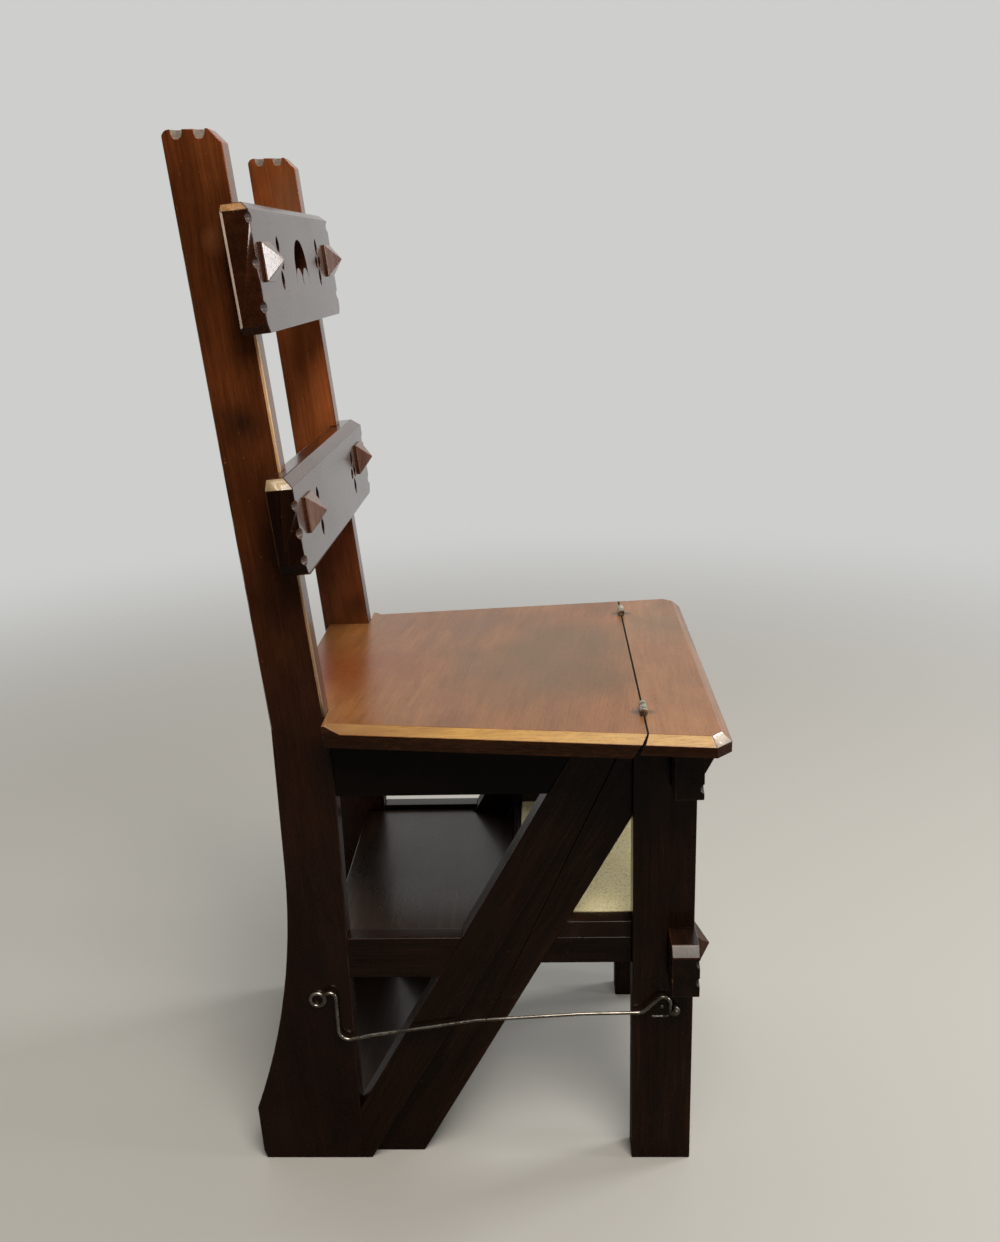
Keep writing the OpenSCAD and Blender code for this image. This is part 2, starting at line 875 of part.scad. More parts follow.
module mid_rail(side) {
    low = mid_rail_top - mid_rail_h;
    side_board(side, half_w - mid_rail_t, half_w, [
        [rear_leg_front, low],
        [back_string_top(low), low],
        [back_string_top(mid_rail_top), mid_rail_top],
        [rear_leg_front, mid_rail_top]
    ]);
}

module mid_rail_near() {
    color(wood)
    mid_rail(-1);
}

module mid_rail_far() {
    color(wood)
    mid_rail(1);
}

// Tread of the back half between its legs and strings, with a nose that fits between the front strings
module back_tread(top, back, nose, half) {
    low = top - tread_t;
    difference() {
        union() {
            block([back, -leg_in, low], [rear_leg_front + cut, leg_in, top]);
            block([rear_leg_front, -half, low], [back_face(low), half, top]);
            block([back_face(low) - cut, -nose_half, low], [nose, nose_half, top]);
        }
        back_string(-1);
        back_string(1);
    }
}

module mid_tread() {
    color(wood)
    back_tread(mid_rail_top - mid_tread_drop, mid_tread_back, mid_tread_nose, half_w - mid_rail_t);
}

module bottom_tread() {
    color(wood)
    back_tread(low_tread_top, low_tread_back, low_tread_nose, back_string_in);
}

module upper_back_rail() {
    color(wood)
    on_stile(upper_z)
    difference() {
        back_rail_blank(upper_half, upper_h, upper_clip_top, [
            [upper_half - upper_clip_low, upper_h / 2],
            [upper_half, upper_h / 2 - upper_clip_low]
        ]);
        rail_chamfer(upper_h, upper_chamfer);
        end_gouges(rail_proud, upper_half, upper_gouge_rise, upper_gouge_gap);
        for (side = [-1, 1])
            translate([0, side * cross_y, upper_cross_rise])
            cross_hole();
        translate([0, 0, -arch_drop])
        arch_hole();
    }
}

module lower_back_rail() {
    color(wood)
    on_stile(lower_z)
    difference() {
        back_rail_blank(
            lower_half, lower_h, lower_clip_top,
            corner_arc(lower_half, lower_h / 2, lower_round)
        );
        rail_chamfer(lower_h, lower_chamfer);
        end_gouges(rail_proud, lower_half, -lower_gouge_drop, lower_gouge_gap);
        for (side = [-1, 1])
            translate([0, side * (cross_y + lower_cross_out), -lower_cross_drop])
            cross_hole();
    }
}

// Boss on a back rail
module back_boss(z, side, rise) {
    color(wood)
    on_stile(z)
    translate([rail_proud, side * stile_mid, rise])
    boss();
}

module upper_boss_near() {
    back_boss(upper_z, -1, upper_boss_rise);
}

module upper_boss_far() {
    back_boss(upper_z, 1, upper_boss_rise);
}

module lower_boss_near() {
    back_boss(lower_z, -1, lower_boss_rise);
}

module lower_boss_far() {
    back_boss(lower_z, 1, lower_boss_rise);
}

// Boss on the front stretcher rail
module front_boss(side) {
    color(wood)
    translate([front_rail_face, side * front_leg_mid, front_stretcher_low + front_stretcher_h / 2])
    boss();
}

module front_boss_near() {
    front_boss(-1);
}

module front_boss_far() {
    front_boss(1);
}

// One knuckle of a hinge, with its bore
module knuckle(y, bore) {
    translate([pin_x, y, pin_z])
    rotate([90, 0, 0])
    difference() {
        cylinder(h = knuckle_len, r = barrel_r, center = true, $fn = 48);
        cylinder(h = 2 * knuckle_len, r = bore, center = true, $fn = 48);
    }
}

// Strip between a leaf and a knuckle, running up into the barrel
module knuckle_neck(y, x0, x1) {
    difference() {
        block([x0, y - knuckle_len / 2, seat_z], [x1, y + knuckle_len / 2, pin_z - cut]);
        translate([pin_x, y, pin_z])
        rotate([90, 0, 0])
        cylinder(h = 2 * knuckle_len, r = barrel_r - cut / 2, center = true, $fn = 48);
    }
}

module hinge_fixed_leaf(side) {
    color(brass)
    translate([0, side * hinge_y, 0]) {
        for (k = [-1, 1]) {
            knuckle(k * (knuckle_len + knuckle_gap), hinge_pin_r);
            knuckle_neck(k * (knuckle_len + knuckle_gap), front_edge(seat_z), front_edge(seat_z) + leaf_t);
        }
        cross_bar(-hinge_len / 2, hinge_len / 2, [
            [front_edge(seat_z - leaf_drop), seat_z - leaf_drop],
            [front_edge(seat_z - leaf_drop) + leaf_t, seat_z - leaf_drop],
            [front_edge(seat_z) + leaf_t, seat_z],
            [front_edge(seat_z), seat_z]
        ]);
    }
}

module hinge_fixed_leaf_near() {
    hinge_fixed_leaf(-1);
}

module hinge_fixed_leaf_far() {
    hinge_fixed_leaf(1);
}

module hinge_moving_leaf(side) {
    color(brass)
    translate([0, side * hinge_y, 0]) {
        knuckle(0, hinge_pin_r + pin_play);
        knuckle_neck(0, main_edge(seat_z) - leaf_t, main_edge(seat_z));
        cross_bar(-hinge_len / 2, hinge_len / 2, [
            [main_edge(seat_z - leaf_drop) - leaf_t, seat_z - leaf_drop],
            [main_edge(seat_z - leaf_drop), seat_z - leaf_drop],
            [main_edge(seat_z), seat_z],
            [main_edge(seat_z) - leaf_t, seat_z]
        ]);
    }
}

module hinge_moving_leaf_near() {
    hinge_moving_leaf(-1);
}

module hinge_moving_leaf_far() {
    hinge_moving_leaf(1);
}

module hinge_pin(side) {
    color(brass)
    translate([pin_x, side * hinge_y, pin_z])
    rotate([90, 0, 0])
    cylinder(h = hinge_len, r = hinge_pin_r, center = true, $fn = 48);
}

module hinge_pin_near() {
    hinge_pin(-1);
}

module hinge_pin_far() {
    hinge_pin(1);
}

// Round-headed screw in the near front leg that the hook turns on, with a collar behind the ring
module hook_pivot() {
    collar = hook_plane - wire_r - half_w - side_play;
    shank = collar + 2 * wire_r + 2 * side_play;
    color(brass)
    translate([hook_x, -half_w, hook_z])
    rotate([90, 0, 0]) {
        cylinder(h = collar, r = hook_pin_r + wire_r, $fn = 48);
        cylinder(h = shank + cut, r = hook_pin_r, $fn = 48);
        translate([0, 0, shank])
        intersection() {
            cylinder(h = head_h, r = head_r, $fn = 48);
            translate([0, 0, head_h - head_dome])
            sphere(r = head_dome, $fn = 64);
        }
    }
}

module rear_eye() {
    color(brass)
    translate([eye_x, -eye_plane, eye_z])
    rotate([90, 0, 0])
    rotate_extrude($fn = 64)
    translate([eye_r, 0])
    circle(r = wire_r, $fn = 24);
}

// A stop on the wire's route holds its place in the wire's plane and its heading
function ahead(s, run) = [s[0] + run * cos(s[2]), s[1] + run * sin(s[2]), s[2]];
function around(s, turn, r) =
    let (k = sign(turn) * r)
    [s[0] + k * (sin(s[2] + turn) - sin(s[2])), s[1] - k * (cos(s[2] + turn) - cos(s[2])), s[2] + turn];
function stops(turn, r) = max(ceil(abs(turn) / bend_step), ceil(abs(turn) / 360 * 2 * PI * r / stop_gap));

// Route of a wire: each step is a straight length, then a bend of so many degrees and radius
function route(s, steps, i = 0) =
    i == len(steps) ? [s] :
    let (run = steps[i][0], turn = steps[i][1], r = steps[i][2], e = ahead(s, run), n = stops(turn, r))
    concat(
        run > 0 ? [s] : [],
        [for (k = [0 : 1 : n - 1]) around(e, turn * k / n, r)],
        route(around(e, turn, r), steps, i + 1)
    );

// Round wire along a route, with flat ends
module bent_wire(path) {
    n = wire_sides;
    last = len(path) - 1;
    polyhedron(
        points = [
            for (s = path, k = [0 : n - 1])
                let (t = 360 * k / n)
                [s[0] - wire_r * cos(t) * sin(s[2]), s[1] + wire_r * cos(t) * cos(s[2]), wire_r * sin(t)]
        ],
        faces = concat(
            [[for (k = [0 : n - 1]) k]],
            [[for (k = [n - 1 : -1 : 0]) last * n + k]],
            [
                for (i = [0 : last - 1], k = [0 : n - 1])
                    [i * n + k, (i + 1) * n + k, (i + 1) * n + (k + 1) % n]
            ],
            [
                for (i = [0 : last - 1], k = [0 : n - 1])
                    [i * n + k, (i + 1) * n + (k + 1) % n, i * n + (k + 1) % n]
            ]
        )
    );
}

module wire_hook() {
    start = 180 + hook_loop;
    color(brass)
    translate([hook_x, -hook_plane, hook_z])
    rotate([90, 0, 0])
    bent_wire(route([hook_ring_r * cos(start), hook_ring_r * sin(start), start - 90], [
        [0, -hook_loop, hook_ring_r],
        [hook_neck, 135, hump_r],
        [hook_fall, -44, shoulder_r],
        [hook_level, 11, sag_r],
        [hook_lead, -102, foot_bend_r],
        [hook_rise, 120, crook_r],
        [3 * wire_r, 0, crook_r]
    ]));
}

front_leg_near();
front_leg_far();
front_string_near();
front_string_far();
side_stretcher_near();
side_stretcher_far();
fixed_tread();
tread_lining();
front_stretcher_rail();
front_apron_rail();
seat_front_moulding();
front_seat_board();
front_boss_near();
front_boss_far();
hinge_fixed_leaf_near();
hinge_fixed_leaf_far();
hinge_pin_near();
hinge_pin_far();
hook_pivot();
rear_leg_near();
rear_leg_far();
back_string_near();
back_string_far();
seat_rail_near();
seat_rail_far();
mid_rail_near();
mid_rail_far();
main_seat_board();
mid_tread();
bottom_tread();
upper_back_rail();
lower_back_rail();
upper_boss_near();
upper_boss_far();
lower_boss_near();
lower_boss_far();
hinge_moving_leaf_near();
hinge_moving_leaf_far();
rear_eye();
wire_hook();
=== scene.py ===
# Metamorphic library chair in dark French-polished hardwood: a side chair whose back half swings
# over the front of the seat on two brass hinges and stands on its stile tops as library steps.
import math

import bmesh
import bpy
from mathutils import Matrix, Vector


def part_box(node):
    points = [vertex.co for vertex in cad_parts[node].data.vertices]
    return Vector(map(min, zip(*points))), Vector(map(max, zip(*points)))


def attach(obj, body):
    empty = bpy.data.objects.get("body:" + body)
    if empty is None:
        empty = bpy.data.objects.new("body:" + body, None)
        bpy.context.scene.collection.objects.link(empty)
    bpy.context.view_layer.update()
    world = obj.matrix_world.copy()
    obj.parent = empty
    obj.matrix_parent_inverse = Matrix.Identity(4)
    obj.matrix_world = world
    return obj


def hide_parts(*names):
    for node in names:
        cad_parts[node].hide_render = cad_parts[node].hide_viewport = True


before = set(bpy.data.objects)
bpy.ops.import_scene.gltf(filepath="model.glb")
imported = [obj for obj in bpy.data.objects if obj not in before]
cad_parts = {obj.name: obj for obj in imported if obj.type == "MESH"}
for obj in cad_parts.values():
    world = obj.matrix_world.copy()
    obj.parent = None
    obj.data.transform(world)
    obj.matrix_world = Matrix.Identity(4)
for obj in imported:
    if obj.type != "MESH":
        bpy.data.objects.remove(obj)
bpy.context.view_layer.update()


# Front legs: two upright posts of dark hardwood, planed square and rubbed down at the arrises.
# Their front faces are cut out for the two rails that are let in across them.
def tone(red, green, blue):
    """A finish's colour as seen, 0 to 255, turned into light."""
    seen = [c / 255 for c in (red, green, blue)]
    return tuple(c / 12.92 if c <= 0.04045 else ((c + 0.055) / 1.055) ** 2.4 for c in seen) + (1.0,)


def put(tree, kind, places=None, **settings):
    """One node of a finish: sockets given as places are joined up, and values are set."""
    node = tree.nodes.new("ShaderNode" + kind)
    for key, value in settings.items():
        setattr(node, key, value)
    for key, value in (places or {}).items():
        if isinstance(value, bpy.types.NodeSocket):
            tree.links.new(value, node.inputs[key])
        else:
            node.inputs[key].default_value = value
    return node


def between(tree, value, low, high, to_low, to_high):
    """Spreads one range of a pattern over another, and holds it at the ends."""
    places = {"Value": value, "From Min": low, "From Max": high, "To Min": to_low, "To Max": to_high}
    return put(tree, "MapRange", places).outputs["Result"]


def tint(tree, kind, amount, under, over):
    """Lays one colour over another, as a glaze or a stain is laid."""
    node = put(tree, "Mix", data_type="RGBA", blend_type=kind)
    for place, value in ((0, amount), (6, under), (7, over)):
        if isinstance(value, bpy.types.NodeSocket):
            tree.links.new(value, node.inputs[place])
        else:
            node.inputs[place].default_value = value
    return node.outputs[2]


def plus(tree, pattern, share, under):
    """A share of one pattern on top of another."""
    return put(tree, "Math", {0: pattern, 1: share, 2: under}, operation="MULTIPLY_ADD").outputs["Value"]


def ramped(tree, value, stops):
    """Colours laid out along a pattern, each at its own place."""
    ramp = put(tree, "ValToRGB", {"Fac": value})
    steps = ramp.color_ramp.elements
    steps[0].position, steps[0].color = stops[0]
    steps[-1].position, steps[-1].color = stops[-1]
    for spot, colour in stops[1:-1]:
        steps.new(spot).color = colour
    return ramp.outputs["Color"]


def blank(name):
    """A finish with nothing in it yet, and its tree of nodes."""
    finish = bpy.data.materials.new(name)
    finish.use_nodes = True
    finish.node_tree.nodes.clear()
    return finish, finish.node_tree


def polished(name, grain, tones, gloss=0.25, wear=0.0, worn=(186, 124, 72), mottle=0.22, coat=0.35,
             streak=1.0, waves=0.12, painted_height_shade=(), stains=()):
    """French-polished hardwood. Grain is the direction of the fibres, and tones run from the dark
    streaks to the pale ones. Wear is the share rubbed through to the worn tone, painted_height_shade is
    painted shade, the share of the light left at each height, and stains are soft patches of another tone."""
    finish, tree = blank(name)
    place = put(tree, "TexCoord").outputs["Object"]
    along = Vector(grain).normalized()
    across = along.orthogonal().normalized()
    through = along.cross(across)
    runs = [
        put(tree, "VectorMath", {0: place, 1: way}, operation="DOT_PRODUCT").outputs["Value"]
        for way in (along, across, through)
    ]
    board = put(tree, "CombineXYZ", {"X": runs[0], "Y": runs[1], "Z": runs[2]}).outputs["Vector"]

    def streaks(length, width, detail, bend=0.0):
        """Noise drawn out along the fibres, by its length and width in metres."""
        squeeze = (1 / length, 1 / width, 1 / width)
        drawn = put(tree, "VectorMath", {0: board, 1: squeeze}, operation="MULTIPLY").outputs["Vector"]
        return put(tree, "TexNoise", {
            "Vector": drawn, "Scale": 1.0, "Detail": detail, "Roughness": 0.58, "Distortion": bend,
        }).outputs["Fac"]

    figure = streaks(0.30, 0.036, 3.0, 0.8)
    ribbon = streaks(0.09, 0.010, 3.0, 0.4)
    fibre = streaks(0.045, 0.0014, 3.0)
    pore = streaks(0.008, 0.0006, 1.0)
    cloud = streaks(0.10, 0.06, 4.0)
    smudge = streaks(0.10, 0.07, 5.0)
    bruise = streaks(0.005, 0.0035, 2.0)
    waviness = streaks(0.13, 0.03, 2.0)
    blend = plus(tree, figure, 0.34, 0.0)
    blend = plus(tree, ribbon, 0.26, blend)
    blend = plus(tree, fibre, 0.40, blend)
    spread = 0.15 / streak
    colour = ramped(tree, blend, (
        (0.5 - spread, tone(*tones[0])), (0.5, tone(*tones[1])), (0.5 + spread, tone(*tones[2])),
    ))
    shade = between(tree, cloud, 0.32, 0.68, 1 - mottle, 1 + mottle * 0.55)
    shade = put(tree, "CombineColor", {"Red": shade, "Green": shade, "Blue": shade}).outputs["Color"]
    colour = tint(tree, "MULTIPLY", 1.0, colour, shade)
    open_pores = between(tree, pore, 0.60, 0.74, 0.0, 0.5)
    colour = tint(tree, "MIX", open_pores, colour, tuple(c * 0.4 for c in tone(*tones[0])[:3]) + (1.0,))
    for centre, reach, stain, share in stains:
        far = put(tree, "VectorMath", {0: place, 1: centre}, operation="DISTANCE").outputs["Value"]
        far = plus(tree, cloud, reach, far)
        soaked = between(tree, far, 0.75 * reach, 1.55 * reach, share, 0.0)
        colour = tint(tree, "MIX", soaked, colour, tone(*stain))
    knocks = between(tree, bruise, 0.73, 0.80, 0.0, 0.55)
    colour = tint(tree, "MIX", knocks, colour, tone(*worn))
    if wear:
        rubbed = streaks(0.04, 0.010, 5.0)
        most = min(1.0, 0.5 + wear / 2)
        bare = between(tree, rubbed, 0.72 - 0.42 * wear, 0.80 - 0.34 * wear, 0.0, most)
        colour = tint(tree, "MIX", bare, colour, tone(*worn))
    # Painted shade: the colour is multiplied down by height, standing in for light that falls off lower down.
    if painted_height_shade:
        height = put(tree, "SeparateXYZ", {"Vector": place}).outputs["Z"]
        shaded = ramped(tree, height, [(spot, (light, light, light, 1.0)) for spot, light in painted_height_shade])
        colour = tint(tree, "MULTIPLY", 1.0, colour, shaded)
    dull = between(tree, smudge, 0.3, 0.7, gloss - 0.03, gloss + 0.05)
    dull = plus(tree, open_pores, 0.2, dull)
    waved = put(tree, "Bump", {"Height": waviness, "Strength": waves, "Distance": 0.0016})
    skin = plus(tree, open_pores, -0.9, fibre)
    skin = plus(tree, knocks, -2.0, skin)
    relief = put(tree, "Bump", {
        "Height": skin, "Strength": 0.22, "Distance": 0.00015, "Normal": waved.outputs["Normal"],
    })
    shader = put(tree, "BsdfPrincipled", {
        "Base Color": colour, "Roughness": dull, "IOR": 1.48,
        "Coat Weight": coat, "Coat Roughness": 0.12, "Coat IOR": 1.5, "Normal": relief.outputs["Normal"],
    })
    tree.links.new(waved.outputs["Normal"], shader.inputs["Coat Normal"])
    put(tree, "OutputMaterial", {"Surface": shader.outputs["BSDF"]})
    finish.diffuse_color = tone(*tones[1])
    return finish


broad, strip = 0, 1


def planed(node):
    """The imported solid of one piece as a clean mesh: its seams closed, and each flat face in one."""
    seam, sliver, flat_angle = 2e-5, 1e-5, 0.01
    wood = bmesh.new()
    wood.from_mesh(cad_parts[node].data)
    bmesh.ops.remove_doubles(wood, verts=wood.verts, dist=seam)
    bmesh.ops.dissolve_degenerate(wood, edges=wood.edges, dist=sliver)
    bmesh.ops.dissolve_limit(wood, angle_limit=flat_angle, verts=wood.verts, edges=wood.edges)
    for face in wood.faces:
        face.material_index = broad
        face.smooth = True
    return wood


def bevelled(wood, edges, width, finish=strip):
    """Takes a round strip off some edges, and gives the strip its own finish."""
    bmesh.ops.bevel(
        wood, geom=edges, offset=width, offset_type="OFFSET", segments=2, profile=0.6,
        affect="EDGES", clamp_overlap=False, material=finish,
    )


def eased(wood, arris, rim=0.0003):
    """Rubs down the sharp arrises of a piece, and less the rims of its cut work, whose edges are
    short. Its broad faces keep the first finish, and the rubbed strips take the second."""
    crisp_angle, short_edge = 0.38, 0.005
    for short, width in ((False, arris), (True, rim)):
        sharp = [
            edge for edge in wood.edges
            if edge.is_manifold and edge.is_convex and edge.calc_face_angle(0) > crisp_angle
            and (edge.calc_length() < short_edge) == short
            and all(face.material_index == broad for face in edge.link_faces)
        ]
        if sharp:
            bevelled(wood, sharp, width)
    for face in wood.faces:
        face.smooth = True
    return wood


def made(wood, name, finishes):
    """The finished piece as an object, with crisp flat faces between its soft arrises."""
    mesh = bpy.data.meshes.new(name)
    wood.to_mesh(mesh)
    wood.free()
    for finish in finishes:
        mesh.materials.append(finish)
    mesh.set_sharp_from_angle(angle=math.radians(48))
    piece = bpy.data.objects.new(name, mesh)
    bpy.context.scene.collection.objects.link(piece)
    flat = piece.modifiers.new("flat_faces", "WEIGHTED_NORMAL")
    flat.keep_sharp = True
    return piece


upright = (0, 0, 1)
leg_wood = polished(
    "leg_wood", upright, ((18, 8, 2), (34, 15, 5), (54, 27, 11)), coat=0.1, worn=(110, 64, 34)
)
leg_arris = polished(
    "leg_arris", upright, ((22, 9, 4), (38, 17, 8), (58, 28, 14)), gloss=0.34, wear=0.2,
    worn=(116, 70, 42), coat=0.1,
)
for side in ("near", "far"):
    leg = eased(planed("front_leg_" + side), arris=0.0012)
    leg = made(leg, "turned_out_front_leg_" + side, [leg_wood, leg_arris])
    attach(leg, "front_half")
    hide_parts("front_leg_" + side)

# Strings of the front half: two slanting boards of the same dark hardwood, from the floor up to the
# front of the seat. They are planed along the cut where the chair parts, and fixed to the legs.
slant = math.radians(60.74)
string_wood = polished(
    "string_wood", (math.cos(slant), 0, math.sin(slant)), ((17, 8, 2), (32, 15, 5), (52, 28, 11)),
    coat=0.1, worn=(120, 78, 44),
)
for side in ("near", "far"):
    string = eased(planed("front_string_" + side), arris=0.001)
    string = made(string, "slant_string_front_" + side, [string_wood, leg_arris])
    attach(string, "front_half")
    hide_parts("front_string_" + side)

# Side stretchers: two short level bars of dark hardwood, let in between the front leg and the
# string on each side. They carry the ends of the fixed tread.
lengthwise = (1, 0, 0)
level_wood = polished(
    "level_wood", lengthwise, ((14, 6, 2), (28, 13, 5), (46, 24, 10)), coat=0.1, worn=(104, 64, 36)
)
for side in ("near", "far"):
    bar = eased(planed("side_stretcher_" + side), arris=0.0007)
    bar = made(bar, "side_bar_" + side, [level_wood, level_wood])
    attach(bar, "front_half")
    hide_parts("side_stretcher_" + side)

# Fixed tread: one dark hardwood board across the front half, planed flat and notched round the
# legs and strings. It lies on the side stretchers, and its front meets the stretcher rail.
crosswise = (0, 1, 0)
tread_wood = polished(
    "tread_wood", crosswise, ((22, 10, 4), (38, 19, 9), (58, 32, 17)), gloss=0.3, coat=0.15
)
tread = made(eased(planed("fixed_tread"), arris=0.0007), "fixed_tread_board", [tread_wood, tread_wood])
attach(tread, "front_half")
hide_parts("fixed_tread")

# Lining of the fixed tread: a thin pale covering, flecked and a little soiled. It is cut out round
# the strings, laid flat and glued to the board.
speckled, tree = blank("speckled_lining")
place = put(tree, "TexCoord").outputs["Object"]
fleck = put(tree, "TexVoronoi", {"Vector": place, "Scale": 420.0}).outputs["Distance"]
crumb = put(tree, "TexNoise", {"Vector": place, "Scale": 620.0, "Detail": 3.0}).outputs["Fac"]
soil = put(tree, "TexNoise", {"Vector": place, "Scale": 26.0, "Detail": 4.0}).outputs["Fac"]
colour = tint(tree, "MIX", between(tree, soil, 0.35, 0.7, 0.0, 0.5), tone(254, 240, 186), tone(246, 224, 158))
colour = tint(tree, "MIX", between(tree, crumb, 0.56, 0.64, 0.0, 0.55), colour, tone(176, 152, 96))
colour = tint(tree, "MIX", between(tree, fleck, 0.0, 0.24, 0.4, 0.0), colour, tone(140, 118, 74))
nap = plus(tree, crumb, 0.6, fleck)
relief = put(tree, "Bump", {"Height": nap, "Strength": 0.5, "Distance": 0.0006})
shader = put(tree, "BsdfPrincipled", {
    "Base Color": colour, "Roughness": between(tree, soil, 0.3, 0.7, 0.82, 0.95),
    "Sheen Weight": 0.15, "Normal": relief.outputs["Normal"],
})
put(tree, "OutputMaterial", {"Surface": shader.outputs["BSDF"]})
lining = made(eased(planed("tread_lining"), arris=0.0005), "tread_covering", [speckled, speckled])
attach(lining, "front_half")
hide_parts("tread_lining")
low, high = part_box("tread_lining")

# Front rails: the apron under the seat and the stretcher below it, dark boards let into the front of
# the legs and running past them, with gouged notches in their ends, and the canted moulding under
# the seat's front edge. The clipped corners are rubbed paler.
cross_wood = polished(
    "cross_wood", crosswise, ((13, 6, 2), (26, 12, 5), (44, 22, 10)), coat=0.2, worn=(120, 78, 50)
)
cross_arris = polished(
    "cross_arris", crosswise, ((34, 16, 8), (56, 29, 15), (84, 48, 27)), gloss=0.3, wear=0.28,
    worn=(150, 102, 70),
)
pale_clip_wood = polished(
    "pale_clip_wood", crosswise, ((120, 84, 62), (168, 128, 100), (196, 160, 132)), gloss=0.26,
    worn=(214, 182, 150),
)
dull_clip_wood = polished(
    "dull_clip_wood", crosswise, ((34, 24, 16), (56, 40, 28), (80, 60, 44)), gloss=0.34, coat=0.0,
    worn=(120, 96, 76),
)
clip = 2
for node in ("front_stretcher_rail", "front_apron_rail", "seat_front_moulding"):
    rail = eased(planed(node), arris=0.0009)
    for face in rail.faces:
        upper = abs(face.normal.y) > 0.5 and face.normal.z > 0.5
        if upper and face.material_index == broad and node != "front_apron_rail":
            face.material_index = clip
    clip_wood = dull_clip_wood if node == "front_stretcher_rail" else pale_clip_wood
    rail = made(rail, node + "_board", [cross_wood, cross_arris, clip_wood])
    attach(rail, "front_half")
    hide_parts(node)

# Bosses on the front stretcher: two square hardwood blocks cut to a low pyramid and planted on the
# rail with glue. The pyramids are polished, and the sides of the blocks are painted dark as painted shade.
# Painted shade: the dark colour of the boss blocks' sides.
boss_side_wood = polished(
    "boss_side_wood", upright, ((22, 10, 6), (38, 19, 12), (58, 32, 21)), gloss=0.26, coat=0.15,
    worn=(120, 84, 64),
)


def boss_of(node, face_wood, arris_wood):
    """One boss: a finish for its pyramid, one for its arrises, and painted shade on the sides of its block.
    """
    painted_shade_side = 2
    block = eased(planed(node), arris=0.0006)
    for face in block.faces:
        if face.material_index == broad and abs(face.normal.y) > 0.9:
            face.material_index = painted_shade_side
    return made(block, "pyramid_" + node, [face_wood, arris_wood, boss_side_wood])


dark_boss_wood = polished(
    "dark_boss_wood", upright, ((34, 19, 10), (56, 33, 20), (80, 50, 33)), gloss=0.24, coat=0.2,
    worn=(140, 100, 76),
)
for side in ("near", "far"):
    boss = boss_of("front_boss_" + side, dark_boss_wood, cross_arris)
    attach(boss, "front_half")
    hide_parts("front_boss_" + side)

# Rear legs: each leg and stile is one plank of red-brown hardwood, sabre-curved at the foot and
# leaning back above the seat, with gouged notches in its top. The colour is painted shade, darkened
# by height to nearly black below the seat and lighter towards the top. The arrises are rubbed, with a
# painted golden highlight along the front ones above the seat and a painted pale highlight along the
# rear ones, and the far stile's inner face is painted brighter and warmer as if lit.
stile_grain = (-0.085, 0, 1)
stile_tones = ((78, 37, 15), (114, 58, 25), (142, 80, 40))
# Painted shade: the share of the light left at each height, nearly black below the seat.
stile_painted_shade = (
    (0.0, 0.08), (0.2, 0.10), (0.42, 0.15), (0.50, 0.34),
    (0.58, 0.58), (0.68, 0.78), (0.84, 0.84), (0.90, 1.0),
)
stile_wood = polished(
    "stile_wood", stile_grain, stile_tones, mottle=0.45, worn=(196, 146, 104), streak=0.8,
    painted_height_shade=stile_painted_shade,
    stains=(
        ((-0.163, -0.14, 0.695), 0.022, (42, 24, 14), 0.75),
        ((-0.15, -0.14, 0.60), 0.03, (70, 32, 14), 0.5),
        ((-0.17, -0.14, 0.83), 0.012, (150, 88, 52), 0.5),
    ),
)
stile_arris = polished(
    "stile_arris", stile_grain, [[c * 1.2 for c in t] for t in stile_tones], gloss=0.3, wear=0.3,
    worn=(190, 140, 98), painted_height_shade=stile_painted_shade,
)
# Painted light: the far stile's inner face painted brighter and warmer as if lit from behind, with a painted
# pale reflection near the top and painted shade by height.
warm_inner_wood = polished(
    "warm_inner_wood", stile_grain, ((132, 66, 29), (176, 95, 48), (206, 126, 74)), mottle=0.42,
    worn=(206, 150, 100), streak=0.8,
    painted_height_shade=(
        (0.0, 0.08), (0.38, 0.14), (0.45, 0.30), (0.52, 0.50),
        (0.60, 0.74), (0.68, 1.0), (0.82, 0.9), (0.88, 0.72),
    ),
    stains=(
        ((-0.16, 0.12, 0.87), 0.03, (150, 100, 70), 0.6),
        ((-0.13, 0.12, 0.47), 0.02, (60, 34, 18), 0.6),
    ),
)
# Painted highlight: the pale golden line along the stiles' front arrises above the seat, with painted shade
# below it.
rubbed_arris = polished(
    "rubbed_arris", stile_grain, ((176, 130, 84), (216, 172, 122), (234, 200, 156)), gloss=0.3, coat=0.1,
    wear=0.4, worn=(240, 212, 172),
    painted_height_shade=((0.45, 0.05), (0.465, 0.45), (0.56, 0.45), (0.62, 0.7), (0.68, 1.0)),
)
scooped_wood = polished(
    "scooped_wood", upright, ((84, 72, 60), (118, 104, 90), (150, 136, 120)), gloss=0.2, worn=(190, 176, 158)
)
